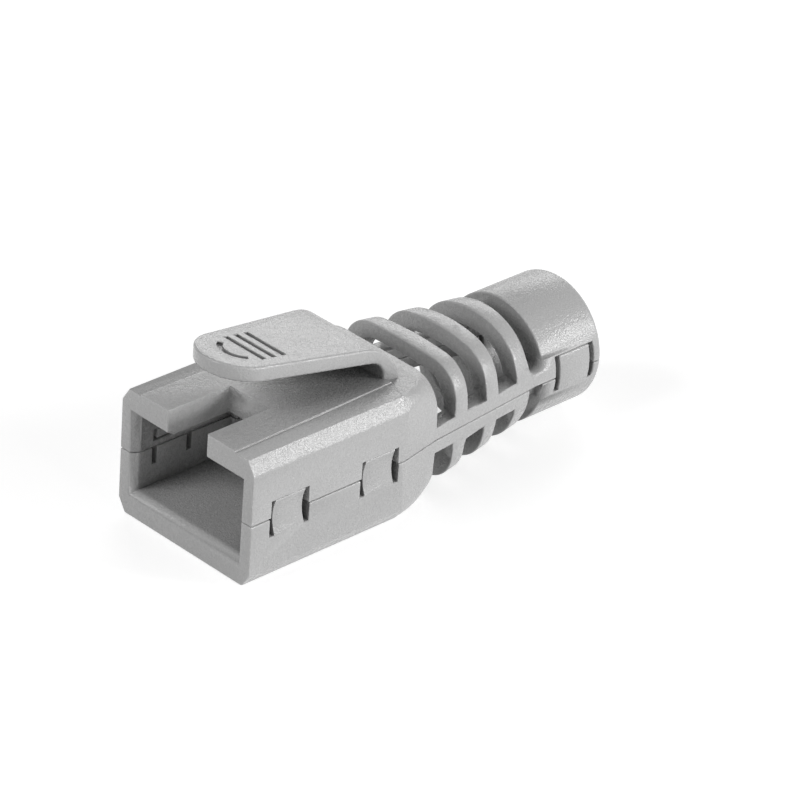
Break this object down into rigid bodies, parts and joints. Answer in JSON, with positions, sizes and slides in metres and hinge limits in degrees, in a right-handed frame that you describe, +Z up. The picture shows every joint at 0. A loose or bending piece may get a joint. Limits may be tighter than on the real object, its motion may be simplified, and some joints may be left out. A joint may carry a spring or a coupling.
{
  "type": "rj45 strain relief boot",
  "caption": "Snap-together boot for a modular network plug, with a sprung latch guard and a ribbed, tapered tail that ends in a round cable collar.",
  "frame": {"origin": "centre of the plug mouth, on the parting plane between the two shells", "axes": "+X from the plug mouth to the cable exit, +Z up through the latch guard, +Y across the boot"},
  "size_m": [0.0399, 0.015, 0.0165],
  "materials": {
    "moulded_plastic": "satin, fine spark-eroded texture"
  },
  "bodies": {
    "root": {"upper_shell": "moulded_plastic", "lower_shell": "moulded_plastic"}
  },
  "joints": []
}
